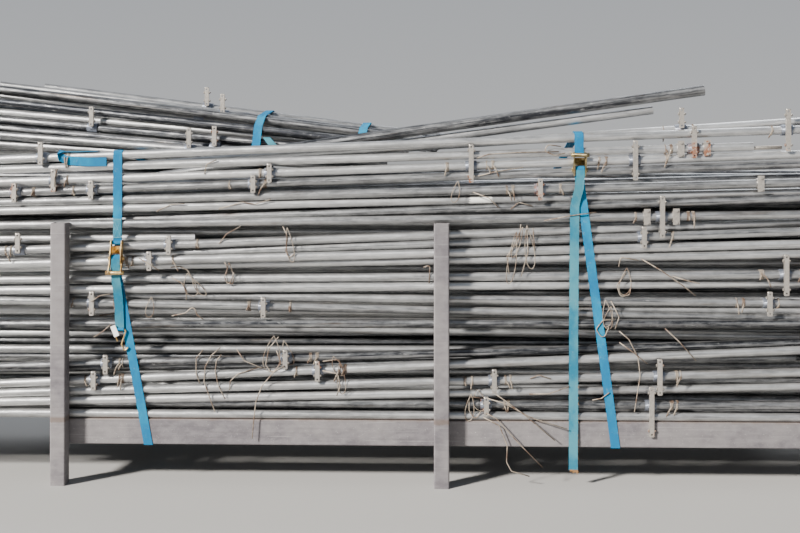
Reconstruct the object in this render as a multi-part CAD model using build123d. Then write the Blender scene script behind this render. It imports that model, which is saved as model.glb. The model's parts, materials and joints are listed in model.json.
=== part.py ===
from build123d import *
import math
import os
import random
from dataclasses import dataclass
from functools import cache

import numpy as np

# A steel rack filled with galvanised tubes. Millimetres: X along the tubes, -Y to the front,
# Z up. The origin is on the floor, under the middle of the rack.

# Gap between pieces that lie against each other
clearance = 0.3

# Rack: square posts outside two long beams, with a cross beam at each pair of posts
post_size = 60.0
post_wall = 4.0
post_corner = 6.0
post_height = 1025.0
post_pitch = 1500.0
post_pairs = 3
rack_width = 1000.0
beam_height = 100.0
beam_width = 50.0
beam_wall = 4.0
beam_corner = 5.0
beam_underside = 150.0

# Tubes: the common size, and two thicker ones among them
tube_od = 33.7
tube_wall = 2.6
middle_od = 42.4
middle_wall = 2.6
wide_od = 48.3
wide_wall = 3.2
full_length = 6000.0
long_length = 4500.0
medium_length = 4000.0
half_length = 3000.0
short_length = 2000.0
end_stagger = 60.0
sheet_step = 34.6

# Clamped brackets: a ring round the tube, a lug bar in front of it and two cross bolts
ring_wall = 4.0
ring_length = 44.0
bar_width = 18.0
bar_depth = 12.0
bar_edge = 3.0
eye_radius = 3.5
eye_margin = 10.0
bolt_radius = 3.0
bolt_margin = 24.0
bolt_fit = 0.2
nut_across = 10.0
nut_height = 5.0
bolt_tail = 3.0
boss_height = 12.0

# Pipe clamps: a band round the tube with a plate in front of it, and two bolts in the plate
clamp_width = 25.0
clamp_height = 63.0
clamp_margin = 8.0

# Lashing straps: each is upright down to its bend, and leans from there to its foot
strap_width = 35.0
strap_thickness = 2.5
strap_places = (-1280.0, 538.0)
strap_bends = (814.0, 1210.0)
strap_feet = (-1156.0, 678.0)

# Ratchets, with the handle's grip given from the spindle to the front and up
ratchet_tops = (955.0, 1305.0)
ratchet_height = 95.0
ratchet_plate = 3.0
ratchet_depth = 36.0
pin_radius = 4.5
pin_drop = 10.0
spindle_radius = 8.0
spindle_rise = 24.0
roll_radius = 15.0
grip_places = ((27.0, -54.0), (22.0, 58.0))
grip_length = 70.0
grip_radius = 8.0
handle_width = 18.0

# Loose end of the left strap with its hook and blank tag, and the tail of the right strap
hook_radius = 3.0
tag_size = (20.0, 1.0, 44.0)
tag_turn = -22.0

# Short straps over the tubes at the rear left, and the buckle on the first
rear_strap_places = (-770.0, -330.0)
buckle_size = (50.0, 12.0, 28.0)
buckle_rim = 6.0

# Tie wires, and the thin rod in the open end of a tube
wire_radius = 2.0
wire_bend = 12.0
wire_rise = 5.0
wire_step = 5.0
spigot_radius = 8.0
spigot_length = 240.0
spigot_out = 110.0

# How the stack is filled
fill_seed = 19
fill_count = 358
fill_tries = 44
fan_count = 66
fan_tries = 12
fan_middle = 215.0
fan_spread = 84.0
fan_opening = 2.0
fan_stray = 25.0
fan_slope = -0.13
fan_first_end = -2900.0
fan_last_end = -1900.0
fan_bar_length = 85.0
fan_bar_shift = 48.0
layer_size = 30
station_count = 13
tilt_spread = 14.0

post_y = rack_width / 2 - post_size / 2
rack_inside = rack_width / 2 - post_size
rack_top = beam_underside + beam_height
post_places = [post_pitch * (i - (post_pairs - 1) / 2) for i in range(post_pairs)]
rack_half_length = post_places[-1] + post_size / 2
first_sheet = -rack_inside + clearance + tube_od / 2


@dataclass
class Tube:
    """A straight round piece. Its axis is y + y_run * x and z + z_run * x, from x0 to x1."""
    x0: float
    x1: float
    y: float
    y_run: float
    z: float
    z_run: float
    radius: float
    wall: float

    def at(self, x):
        """Place of the axis at x."""
        return Vector(x, self.y + self.y_run * x, self.z + self.z_run * x)

    def row(self):
        """Its numbers as one row for the packing sums."""
        return (self.x0, self.x1, self.y, self.y_run, self.z, self.z_run, self.radius)


# Front tubes, from the rack up: name, height of the axis at the left and at the right post,
# sheets behind the posts there, length, and left end.
left_end = -full_length / 2
front_tubes = [
    ("f01", 267, 267, 0, 0, full_length, left_end),
    ("f02", 301, 314, 1, 0, full_length, left_end + 40),
    ("f03", 309, 376, 0, 1, long_length, -1850),
    ("f04", 342, 435, 0, 0, full_length, left_end - 30),
    ("f05", 395, 535, 0, 0, long_length, -1900),
    ("f06", 414, 470, 1, 1, medium_length, -2610),
    ("f07", 459, 557, 0, 1, full_length, left_end + 20),
    ("f08", 573, 512, 0, 1, long_length, -1950),
    ("f09", 598, 578, 1, 0, full_length, left_end - 10),
    ("f10", 620, 635, 0, 0, full_length, left_end + 50),
    ("f11", 636, 670, 1, 0, full_length, left_end - 40),
    ("f12", 658, 691, 0, 1, full_length, left_end),
    ("f13", 693, 758, 1, 0, full_length, left_end + 35),
    ("f14", 714, 798, 0, 0, full_length, left_end - 25),
    ("f15", 748, 862, 1, 0, long_length, -1480),
    ("f16", 792, 903, 0, 1, full_length, left_end + 10),
    ("f17", 845, 870, 1, 1, short_length, -2980),
    ("f18", 890, 935, 0, 0, full_length, left_end - 50),
    ("f19", 936, 1037, 1, 0, full_length, left_end + 30),
    ("f20", 979, 1053, 0, 1, full_length, left_end - 15),
    ("f21", 1016, 1094, 0, 0, full_length, left_end + 45),
    ("f22", 1055, 1166, 0, 0, long_length, -1850),
    ("f23", 1108, 1195, 1, 1, full_length, left_end - 20),
    ("f24", 1138, 1244, 0, 0, full_length, left_end + 15),
    ("f25", 1199, 1292, 0, 0, medium_length, -2780),
    ("f26", 1244, 1356, 0, 0, full_length, left_end - 35),
    ("f27", 1187, 1384, 1, 1, half_length, -1250),
]

# Tubes that lie across the right strap and rise to the right, in the same terms
rising_tubes = [
    ("r01", 1064, 1464, 3.8, 0.9, short_length, -1144, tube_od, tube_wall),
    ("r02", 1091, 1511, 3.7, 0.0, short_length, -946, middle_od, middle_wall),
]

# Brackets on the front: tube, place along it, length of the lug bar, and how far it is shifted up
brackets = [
    ("f26", -1585, 90, 18),
    ("f24", -1533, 90, 0),
    ("f22", -1690, 75, 0),
    ("f22", -1384, 75, 0),
    ("f16", -1674, 80, 30),
    ("f16", -1076, 75, 0),
    ("f14", -1152, 75, 0),
    ("f08", -1380, 95, 0),
    ("f07", -1325, 75, 0),
    ("f05", -1372, 75, 0),
    ("f22", -741, 70, 0),
    ("f24", -677, 75, 0),
    ("f08", -701, 80, 0),
    ("f07", -614, 75, 0),
    ("f05", -487, 80, 0),
    ("f24", 116, 150, 10),
    ("f21", 386, 85, 0),
    ("f04", 206, 95, 0),
    ("f02", 175, 75, 0),
    ("f24", 756, 155, 0),
    ("f27", 942, 80, 46),
    ("f25", 984, 125, 25),
    ("f26", 1347, 165, 0),
    ("f18", 860, 165, 0),
    ("f15", 790, 85, 0),
    ("f11", 1339, 160, 0),
    ("f09", 1275, 95, 0),
    ("f04", 849, 140, 0),
    ("f02", 818, 195, -20),
]

# Pipe clamps: tube, and place along it
pipe_clamps = [
    ("f25", 934),
    ("f25", 1036),
    ("f18", 802),
    ("f18", 915),
    ("f21", 1243),
]

# Places of the rings on the tubes at the rear left
fan_bracket_places = (-1560.0, -1050.0, -1490.0, -950.0)

# Webbing that hangs loose below the ratchets, as points x, y, z
left_end_points = [(-1279.0, -472.0, 805.0), (-1275.0, -455.0, 750.0), (-1272.0, -448.1, 700.0),
                   (-1269.0, -447.2, 610.0)]
right_tail_points = [(535.0, -468.0, 1160.0), (526.0, -450.0, 1120.0), (520.0, -447.0, 1090.0),
                     (515.0, -446.5, 600.0), (514.0, -447.0, 250.0), (513.0, -449.5, 160.0),
                     (513.0, -447.5, 63.0)]

# Slack webbing folded over the top front tube at the left: x, distance before and above the
# tube's axis, and direction of its width
slack_turns = [
    (-1325.0, 18.9, -25.0, (0, 0, 1)),
    (-1400.0, 18.9, -23.0, (0, 0, 1)),
    (-1480.0, 18.9, -14.0, (0, 0, 1)),
    (-1510.0, 22.5, 2.0, (0, 0.5, 0.9)),
    (-1517.0, 17.0, 20.0, (0, 1, 0.5)),
    (-1495.0, 2.0, 20.6, (0, 1, 0)),
    (-1420.0, 0.0, 18.9, (0, 1, 0)),
    (-1360.0, 0.0, 18.9, (0, 1, 0)),
]
slack_steps = 6

# Tie wires on the front of the stack, as points x, z. Each wire lies as far back as it can.
tie_wires = [
    [(178, 342), (249, 322), (303, 292), (358, 265), (490, 225)],
    [(213, 358), (264, 323), (327, 276), (440, 182)],
    [(174, 284), (213, 264), (303, 166), (393, 76)],
    [(163, 268), (225, 237), (256, 158), (253, 95), (272, 60), (342, 41)],
    [(342, 358), (420, 360), (498, 389)],
    [(346, 417), (381, 432), (428, 417)],
    [(588, 335), (623, 342), (654, 366)],
    [(693, 604), (731, 572), (766, 502), (774, 432), (751, 291)],
    [(693, 561), (747, 522), (801, 479)],
    [(871, 615), (925, 565), (991, 490)],
    [(159, 338), (108, 347), (108, 292), (131, 252), (155, 291)],
    [(-871, 533), (-907, 501), (-931, 457), (-935, 398), (-911, 331), (-891, 280)],
    [(-939, 524), (-967, 490), (-967, 430), (-951, 390)],
    [(-867, 505), (-887, 480), (-891, 438), (-879, 383), (-851, 331)],
    [(-712, 457), (-800, 430), (-831, 402), (-835, 366)],
    [(-1074, 845), (-1038, 848), (-1007, 834), (-987, 800)],
    [(-1066, 806), (-1026, 786), (-1007, 755), (-1007, 719)],
    [(-1066, 655), (-1011, 667), (-979, 695), (-965, 660), (-941, 643)],
    [(-1382, 641), (-1340, 646), (-1302, 655)],
    [(-1374, 571), (-1340, 592), (-1305, 622)],
    [(-1380, 714), (-1345, 737), (-1303, 745)],
    [(-1190, 885), (-1150, 862), (-1110, 838)],
    [(143, 1209), (225, 1229), (319, 1243)],
    [(139, 1279), (186, 1295), (303, 1302), (459, 1305)],
    [(467, 1325), (416, 1332), (400, 1308), (444, 1289), (483, 1300)],
    [(311, 1020), (303, 957), (256, 895), (264, 824)],
    [(335, 997), (338, 910), (311, 816)],
    [(358, 1005), (361, 960), (366, 917)],
    [(272, 1079), (303, 1106), (358, 1091)],
    [(401, 1035), (498, 1054), (603, 1069)],
    [(677, 651), (630, 647), (602, 612), (630, 570), (652, 620)],
    [(662, 721), (693, 659), (677, 612)],
    [(123, 1146), (186, 1123), (225, 1084)],
    [(-1515, 1237), (-1527, 1201), (-1525, 1165)],
    [(-1126, 1068), (-1070, 1095), (-1014, 1099)],
    [(-935, 1217), (-925, 1256), (-887, 1272)],
    [(-625, 1010), (-605, 970), (-613, 915), (-601, 884), (-575, 906)],
    [(-855, 869), (-843, 845), (-855, 810), (-838, 772), (-817, 828)],
    [(-879, 940), (-847, 980), (-792, 1010)],
    [(-808, 528), (-776, 481), (-704, 453)],
    [(-641, 576), (-680, 528), (-692, 465), (-665, 431), (-631, 473), (-649, 523)],
    [(-617, 465), (-657, 441), (-704, 386), (-728, 323), (-736, 252), (-742, 181)],
    [(-467, 480), (-403, 488), (-390, 449)],
    [(-467, 445), (-407, 433), (-397, 386), (-411, 347)],
    [(-71, 849), (-45, 858), (-49, 786)],
    [(-879, 1078), (-784, 1105), (-736, 1097), (-673, 1116)],
    [(782, 885), (863, 837), (940, 783), (991, 743)],
    [(902, 818), (956, 802), (1006, 790)],
    [(693, 854), (700, 892), (770, 880)],
    [(720, 830), (685, 780), (700, 738), (735, 745), (741, 790)],
]


def front_line(left_z, right_z, left_sheet, right_sheet, length, x0, od=tube_od, wall=tube_wall):
    """A tube through given heights and sheets at the two end posts."""
    span = post_places[-1] - post_places[0]
    left_y = first_sheet + left_sheet * sheet_step
    right_y = first_sheet + right_sheet * sheet_step
    y_run = (right_y - left_y) / span
    z_run = (right_z - left_z) / span
    x1 = x0 + length / math.sqrt(1 + y_run ** 2 + z_run ** 2)
    return Tube(x0, x1, (left_y + right_y) / 2, y_run, (left_z + right_z) / 2, z_run, od / 2, wall)


def ring_on(tube, x):
    """The ring of a bracket, which keeps neighbours off the tube."""
    return Tube(x - ring_length / 2, x + ring_length / 2, tube.y, tube.y_run, tube.z, tube.z_run,
                tube.radius + clearance + ring_wall, ring_wall)


def surplus(part, others):
    """Smallest gap between a piece and the others, less the clearance."""
    low = np.maximum(part.x0, others[:, 0])
    high = np.minimum(part.x1, others[:, 1])
    near = others[high > low - 2 * clearance]
    if len(near) == 0:
        return math.inf
    low = np.maximum(part.x0, near[:, 0])
    high = np.maximum(low, np.minimum(part.x1, near[:, 1]))
    y_run, z_run = near[:, 3], near[:, 5]
    start = np.stack([part.y - near[:, 2], part.z - near[:, 4]])
    slope = np.stack([part.y_run - y_run, part.z_run - z_run])
    start = np.vstack([start, start[0] * z_run - start[1] * y_run])
    slope = np.vstack([slope, slope[0] * z_run - slope[1] * y_run])
    steep = (slope ** 2).sum(axis=0)
    nearest = np.where(steep > 1e-12, -(start * slope).sum(axis=0) / np.maximum(steep, 1e-12), 0)
    nearest = np.clip(nearest, low, high)
    apart = np.sqrt(((start + slope * nearest) ** 2).sum(axis=0) / (1 + y_run ** 2 + z_run ** 2))
    return (apart - part.radius - near[:, 6] - clearance).min()


def raise_clear(parts, others, roofs=()):
    """Raise a tube with its rings until it clears all the others and the straps below it."""
    for _ in range(200):
        worst = min(surplus(part, others) for part in parts)
        tube = parts[0]
        for middle, roof in roofs:
            for x in (middle - strap_width / 2, middle, middle + strap_width / 2):
                if tube.x0 < x < tube.x1:
                    at = tube.at(x)
                    worst = min(worst, at.Z - tube.radius - clearance - roof(at.Y))
        if worst >= 0:
            return
        for part in parts:
            part.z += max(0.2, -0.6 * worst)


def rest_heights(x0, x1, y, y_run, radius, others, roofs=()):
    """Height lines on which tubes come to rest, one for each y and y_run.

    The others under a tube give the lowest height at each station. The tube then lies on the
    two stations, one on each side of its middle, whose line passes highest over that middle.
    """
    stations = np.linspace(x0, x1, station_count)
    own_y = y[:, None] + y_run[:, None] * stations
    there = (others[:, 0] < stations[:, None] + 30) & (others[:, 1] > stations[:, None] - 30)
    other_y = others[:, 2] + others[:, 3] * stations[:, None]
    other_z = others[:, 4] + others[:, 5] * stations[:, None]
    reach = (radius + others[:, 6] + clearance) ** 2 * (1 + others[:, 3] ** 2 + others[:, 5] ** 2)
    drop = reach - (own_y[:, :, None] - other_y[None]) ** 2
    touching = (drop > 0) & there[None]
    height = np.where(touching, other_z[None] + np.sqrt(np.maximum(drop, 0)), -np.inf).max(axis=2)
    height = np.maximum(height, rack_top + radius + clearance)
    for x, roof in roofs:
        if x0 < x < x1:
            nearest = np.abs(stations - x).argmin()
            under = np.array([roof(v) for v in y + y_run * x]) + radius + clearance
            height[:, nearest] = np.maximum(height[:, nearest], under)
    middle = (x0 + x1) / 2
    left = stations <= middle
    right = ~left
    left_x, right_x = stations[left][:, None], stations[right][None]
    left_h, right_h = height[:, left][:, :, None], height[:, right][:, None]
    run = (right_h - left_h) / (right_x - left_x)
    over = left_h + run * (middle - left_x)
    flat = over.reshape(len(y), -1)
    best = flat.argmax(axis=1)
    z_run = run.reshape(len(y), -1)[np.arange(len(y)), best]
    z = flat[np.arange(len(y)), best] - z_run * middle
    return z, z_run


def fill_stack(rng, placed):
    """Lay the tubes of the inside one by one, each in the lowest of several places tried."""
    filled = []
    for _ in range(fill_count):
        od, wall = rng.choices([(tube_od, tube_wall), (middle_od, middle_wall),
                                (wide_od, wide_wall)], weights=[6, 2, 2])[0]
        radius = od / 2
        reach = rack_inside - clearance - radius
        tries = np.array([rng.uniform(-reach, reach) for _ in range(fill_tries)])
        tilt = np.array([rng.gauss(0, tilt_spread) for _ in range(fill_tries)])
        left_y = np.clip(tries - tilt, -reach, reach)
        right_y = np.clip(tries + tilt, -reach, reach)
        y_run = (right_y - left_y) / (post_places[-1] - post_places[0])
        x0 = left_end + rng.uniform(-end_stagger, end_stagger)
        others = np.array([part.row() for part in placed])
        y = (left_y + right_y) / 2
        z, z_run = rest_heights(x0, x0 + full_length, y, y_run, radius, others)
        for pick in np.argsort(z + 400 * np.abs(z_run))[:6]:
            tube = Tube(x0, x0 + full_length, y[pick], y_run[pick], z[pick], z_run[pick],
                        radius, wall)
            before = tube.z
            raise_clear([tube], others)
            if tube.z - before < 6:
                break
        placed.append(tube)
        filled.append(tube)
    return filled


def lay_fan(rng, placed, roofs):
    """Heap up the shorter tubes that stand high at the rear left and slope down to the right."""
    fan = []
    rings = []
    for i in range(fan_count):
        radius = tube_od / 2
        rear = rack_inside - clearance - radius
        share = i / fan_count
        left_out = np.array([rng.gauss(0, fan_spread) for _ in range(fan_tries)])
        right_out = fan_opening * left_out + np.array([rng.gauss(0, fan_stray)
                                                       for _ in range(fan_tries)])
        left_y = np.minimum(fan_middle + left_out, rear)
        right_y = np.clip(fan_middle + right_out, -rear, rear)
        x0 = fan_first_end + (fan_last_end - fan_first_end) * share + rng.uniform(-60, 180)
        x1 = x0 + short_length
        y_run = (right_y - left_y) / short_length
        others = np.array([part.row() for part in placed])
        y = left_y - y_run * x0
        z, z_run = rest_heights(x0, x1, y, y_run, radius, others, roofs)
        middle = z + z_run * (x0 + x1) / 2
        for pick in np.argsort(middle + 1500 * np.abs(z_run - fan_slope * share))[:4]:
            tube = Tube(x0, x1, y[pick], y_run[pick], z[pick], z_run[pick], radius, tube_wall)
            parts = [tube]
            place = fan_bracket_places[i // 3 % len(fan_bracket_places)]
            if i % 3 == 2 and x0 + ring_length < place < x1 - ring_length:
                parts.append(ring_on(tube, place))
            before = tube.z
            raise_clear(parts, others, roofs)
            if tube.z - before < 8:
                break
        rings += [(tube, place)] * (len(parts) - 1)
        placed.extend(parts)
        fan.append(tube)
    return fan, rings


def lean(strap, z):
    """Place x of the middle of a strap at a height."""
    place, bend, foot = strap
    return place + (foot - place) * max(bend - z, 0) / (bend - beam_underside)


def section_rounds(strap, tubes):
    """Rounds y, z, radius of the tubes where they pass under both edges of a strap."""
    rounds = []
    for tube in tubes:
        middle = lean(strap, tube.at(strap[0]).Z)
        for x in (middle - strap_width / 2, middle + strap_width / 2):
            if tube.x0 < x < tube.x1:
                rounds.append((tube.at(x).Y, tube.at(x).Z, tube.radius))
    return rounds


def hull_face(rounds, grow):
    """Outline drawn tight round the rounds and grown outwards."""
    turn = np.radians(np.arange(0, 360, 1))
    centres = np.array(rounds)
    support = centres[:, 0, None] * np.cos(turn) + centres[:, 1, None] * np.sin(turn)
    outer = sorted(set((support + centres[:, 2, None]).argmax(axis=0)))
    circles = ShapeList([CenterArc(rounds[i][:2], rounds[i][2] + grow, 0, 360).edge()
                         for i in outer])
    return make_hull(circles).face()


def roof_over(strap, tubes):
    """Height of the top of a strap, as a function of y."""
    turn = np.radians(np.arange(1, 180, 1))
    centres = np.array(section_rounds(strap, tubes))
    grow = clearance + strap_thickness
    support = (centres[:, 0, None] * np.cos(turn) + centres[:, 1, None] * np.sin(turn)
               + centres[:, 2, None] + grow).max(axis=0)

    def roof(y):
        return ((support - y * np.cos(turn)) / np.sin(turn)).min()

    return roof


def tube_solid(tube):
    """A tube with its bore."""
    direction = Vector(1, tube.y_run, tube.z_run)
    start = Plane(origin=tube.at(tube.x0), z_dir=direction)
    wall = Face(Wire.make_circle(tube.radius, start),
                [Wire.make_circle(tube.radius - tube.wall, start)])
    return Solid.extrude(wall, direction * (tube.x1 - tube.x0))


def hollow_section(width, height, wall, corner, length, plane):
    """A hollow section with rounded corners, pulled from a plane."""
    outer = RectangleRounded(width, height, corner)
    inner = RectangleRounded(width - 2 * wall, height - 2 * wall, corner - wall / 2)
    return extrude(plane * (outer - inner), length).solid()


def box(x0, x1, y0, y1, z0, z1):
    """A box between its lowest and highest corners."""
    return Pos((x0 + x1) / 2, (y0 + y1) / 2, (z0 + z1) / 2) * Box(x1 - x0, y1 - y0, z1 - z0)


def rod(start, end, radius):
    """A round bar between two points."""
    start, end = Vector(*start), Vector(*end)
    return Solid.make_cylinder(radius, (end - start).length, Plane(start, z_dir=end - start))


def upright_plate(x0, x1, outline):
    """A plate across X, cut to an outline of y and z."""
    low, high = min(x0, x1), max(x0, x1)
    face = Face(Wire.make_polygon([(low, y, z) for y, z in outline]))
    return Solid.extrude(face, Vector(high - low, 0, 0))


def make_posts():
    """Posts outside the beams."""
    return [hollow_section(post_size, post_size, post_wall, post_corner, post_height,
                           Plane((x, side * post_y, 0)))
            for x in post_places for side in (-1, 1)]


def make_long_beams():
    """Beams along the rack, behind the front posts and before the rear posts."""
    middle_z = beam_underside + beam_height / 2
    across = rack_inside - beam_width / 2
    return [hollow_section(beam_width, beam_height, beam_wall, beam_corner, 2 * rack_half_length,
                           Plane((-rack_half_length, side * across, middle_z),
                                 x_dir=(0, 1, 0), z_dir=(1, 0, 0)))
            for side in (-1, 1)]


def make_cross_beams():
    """Beams across the rack, butted between the long beams."""
    middle_z = beam_underside + beam_height / 2
    span = rack_inside - beam_width
    return [hollow_section(beam_width, beam_height, beam_wall, beam_corner, 2 * span,
                           Plane((x, -span, middle_z), x_dir=(1, 0, 0), z_dir=(0, 1, 0)))
            for x in post_places]


@cache
def lug_bar(length):
    """A lug bar about the origin, with eye holes and the cross holes for its bolts."""
    outline = RectangleRounded(bar_width, length, bar_edge)
    for side in (-1, 1):
        outline -= Pos(0, side * (length / 2 - eye_margin)) * Circle(eye_radius)
    bar = extrude(Plane.XZ * outline, bar_depth / 2, both=True)
    for side in (-1, 1):
        z = side * (length / 2 - bolt_margin)
        bar -= rod((-bar_width, 0, z), (bar_width, 0, z), bolt_radius + bolt_fit)
    return bar.solid()


@cache
def cross_bolt():
    """A bolt along X through a bar at the origin, its head on the left and its nut on the right."""
    near = bar_width / 2 + clearance
    hexagon = RegularPolygon(nut_across / 2, 6, major_radius=False)
    head = extrude(Plane((-near - nut_height, 0, 0), z_dir=(1, 0, 0)) * hexagon, nut_height)
    nut = extrude(Plane((near, 0, 0), z_dir=(1, 0, 0)) * hexagon, nut_height)
    shank = rod((-near - nut_height / 2, 0, 0), (near + nut_height + bolt_tail, 0, 0), bolt_radius)
    return (head + nut + shank).solid()


@cache
def plate_bolt():
    """A bolt along Y in a plate at the origin, its head in front."""
    front = -ring_wall / 2 - clearance
    hexagon = RegularPolygon(nut_across / 2, 6, major_radius=False)
    head = extrude(Plane((0, front, 0), z_dir=(0, -1, 0)) * hexagon, nut_height)
    return (head + rod((0, front - nut_height / 2, 0), (0, ring_wall / 2, 0), bolt_radius)).solid()


def bar_place(tube, x, length, shift):
    """Back, lowest and highest value of a lug bar in front of its ring."""
    centre = tube.at(x)
    reach = ring_on(tube, x).radius * math.hypot(1, tube.y_run) + abs(tube.y_run) * bar_width / 2
    back = centre.Y - reach - clearance
    if back < -rack_inside + 2 * bar_depth:
        back = min(back, -rack_inside - clearance)
    return back, centre.Z + shift - length / 2, centre.Z + shift + length / 2


def bracket_solids(tube, x, length, shift):
    """Ring, lug bar and cross bolts of one bracket."""
    back, low, high = bar_place(tube, x, length, shift)
    middle_y = back - bar_depth / 2
    bar = Pos(x, middle_y, (low + high) / 2) * lug_bar(length)
    bolts = [Pos(x, middle_y, z) * cross_bolt() for z in (low + bolt_margin, high - bolt_margin)]
    ring = ring_on(tube, x)
    centre = tube.at(x)
    boss = box(x - bar_width / 2, x + bar_width / 2, back + clearance,
               centre.Y - ring.radius + ring_wall / 2, centre.Z - boss_height / 2,
               centre.Z + boss_height / 2)
    return (tube_solid(ring) + boss).solid(), bar, bolts


def bar_is_clear(tube, x, length, shift, tubes):
    """Whether a lug bar and its bolts keep off all the other tubes."""
    back, low, high = bar_place(tube, x, length, shift)
    for other in tubes:
        if other is tube or not other.x0 - bar_width < x < other.x1 + bar_width:
            continue
        at = other.at(x)
        out_y = max(back - bar_depth - at.Y, at.Y - back, 0)
        out_z = max(low - at.Z, at.Z - high, 0)
        if math.hypot(out_y, out_z) < other.radius + ring_wall + clearance:
            return False
    return True


def clamp_solids(tube, x):
    """Band and plate of a pipe clamp, and the bolts in its plate."""
    centre = tube.at(x)
    outer = tube.radius + clearance + ring_wall
    band = Tube(x - clamp_width / 2, x + clamp_width / 2, tube.y, tube.y_run, tube.z, tube.z_run,
                outer, ring_wall)
    middle_y = centre.Y - outer
    plate = box(x - clamp_width / 2, x + clamp_width / 2, middle_y - ring_wall / 2,
                middle_y + ring_wall / 2, centre.Z - clamp_height / 2, centre.Z + clamp_height / 2)
    bolts = []
    for side in (-1, 1):
        z = centre.Z + side * (clamp_height / 2 - clamp_margin)
        plate -= rod((x, middle_y - 2 * ring_wall, z), (x, middle_y + 2 * ring_wall, z),
                     bolt_radius + bolt_fit)
        bolts.append(Pos(x, middle_y, z) * plate_bolt())
    return (tube_solid(band) + plate).solid(), bolts


def strap_band(strap, tubes, gap_low, pin_y, pin_z):
    """Webbing round the stack and the beams, open in front from the ratchet's roll to its pin.

    The upper end goes forward over the pin and round it.
    """
    place, bend, foot = strap
    half = strap_width / 2
    rounds = section_rounds(strap, tubes)
    rounds += [(side * rack_inside, z, 0.0) for side in (-1, 1) for z in (beam_underside, rack_top)]
    start = min(place, foot) - strap_width
    side = Plane((start, 0, 0), x_dir=(0, 1, 0), z_dir=(1, 0, 0))
    ring = extrude(side * (hull_face(rounds, clearance + strap_thickness)
                           - hull_face(rounds, clearance)),
                   abs(foot - place) + 2 * strap_width)
    heights = (2 * post_height, bend, beam_underside - 2 * strap_width)
    edges = [(lean(strap, z), z) for z in heights]
    outline = [(x - half, -rack_width, z) for x, z in edges]
    outline += [(x + half, -rack_width, z) for x, z in reversed(edges)]
    lane = Solid.extrude(Face(Wire.make_polygon(outline)), Vector(0, 2 * rack_width, 0))
    inner = pin_radius + clearance
    outer = inner + strap_thickness
    gap = box(place - strap_width, place + strap_width, -rack_width, -rack_inside + strap_width,
              gap_low, pin_z + inner)
    x0, x1 = place - half, place + half
    fold = box(x0, x1, pin_y, -rack_inside - clearance - strap_thickness / 2,
               pin_z + inner, pin_z + outer)
    loop = rod((x0, pin_y, pin_z), (x1, pin_y, pin_z), outer)
    loop -= rod((x0 - 1, pin_y, pin_z), (x1 + 1, pin_y, pin_z), inner)
    return ((ring & lane) - gap + fold + loop).solid()


def arch_band(x, tubes):
    """Webbing over the tubes of the rear left, down to the widest of them on either side."""
    rounds = [(t.at(v).Y, t.at(v).Z, t.radius) for t in tubes
              for v in (x - strap_width / 2, x + strap_width / 2) if t.x0 < v < t.x1]
    front = min(rounds, key=lambda r: r[0] - r[2])
    rear = max(rounds, key=lambda r: r[0] + r[2])
    side = Plane((x - strap_width / 2, 0, 0), x_dir=(0, 1, 0), z_dir=(1, 0, 0))
    ring = extrude(side * (hull_face(rounds, clearance + strap_thickness)
                           - hull_face(rounds, clearance)), strap_width)
    low = max(front[1], rear[1])
    arch = ring & box(x - strap_width, x + strap_width, -rack_width, rack_width,
                      low, 2 * post_height)
    return arch.solid(), front


def buckle_solid(x, front):
    """Frame of a buckle in front of the widest tube under a short strap."""
    width, depth, height = buckle_size
    back = front[0] - front[2] - 2 * clearance - strap_thickness
    frame = box(x - width / 2, x + width / 2, back - depth, back,
                front[1] - height / 2, front[1] + height / 2)
    window = box(x - width / 2 + buckle_rim, x + width / 2 - buckle_rim, back - 2 * depth,
                 back + depth, front[1] - height / 2 + buckle_rim,
                 front[1] + height / 2 - buckle_rim)
    middle = box(x - width / 2, x + width / 2, back - depth / 2, back,
                 front[1] - buckle_rim / 2, front[1] + buckle_rim / 2)
    return (frame - window + middle).solid()


def ribbon(stations):
    """Webbing through stations, each a middle and the direction of its width."""
    wires = []
    for i, (middle, across) in enumerate(stations):
        before = Vector(*stations[max(i - 1, 0)][0])
        after = Vector(*stations[min(i + 1, len(stations) - 1)][0])
        across = Vector(*across).normalized() * (strap_width / 2)
        through = (after - before).cross(across).normalized() * (strap_thickness / 2)
        middle = Vector(*middle)
        wires.append(Wire.make_polygon([middle + across + through, middle + across - through,
                                        middle - across - through, middle - across + through]))
    return Solid.make_loft(wires, ruled=True)


def turned_gently(stations, steps):
    """Stations with further ones between them, so that the webbing turns in small steps."""
    fine = []
    for (start, across), (end, next_across) in zip(stations, stations[1:]):
        for share in np.arange(steps) / steps:
            fine.append((Vector(*start) * (1 - share) + Vector(*end) * share,
                         Vector(*across) * (1 - share) + Vector(*next_across) * share))
    return fine + [stations[-1]]


def bent_path(points, bend):
    """Line through points, its corners as wide as its runs allow up to the bend."""
    points = [Vector(*p) for p in points]
    radii = []
    for before, here, after in zip(points, points[1:], points[2:]):
        turn = math.radians((here - before).get_angle(after - here))
        room = 0.45 * min((here - before).length, (after - here).length)
        radii.append(min(bend, room / math.tan(turn / 2)))
    return FilletPolyline(*points, radius=radii)


def bent_wire(points, radius, bend):
    """Round wire along a bent line."""
    path = bent_path(points, bend)
    return sweep(Plane(path @ 0, z_dir=path % 0) * Circle(radius), path=path).solid()


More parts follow.
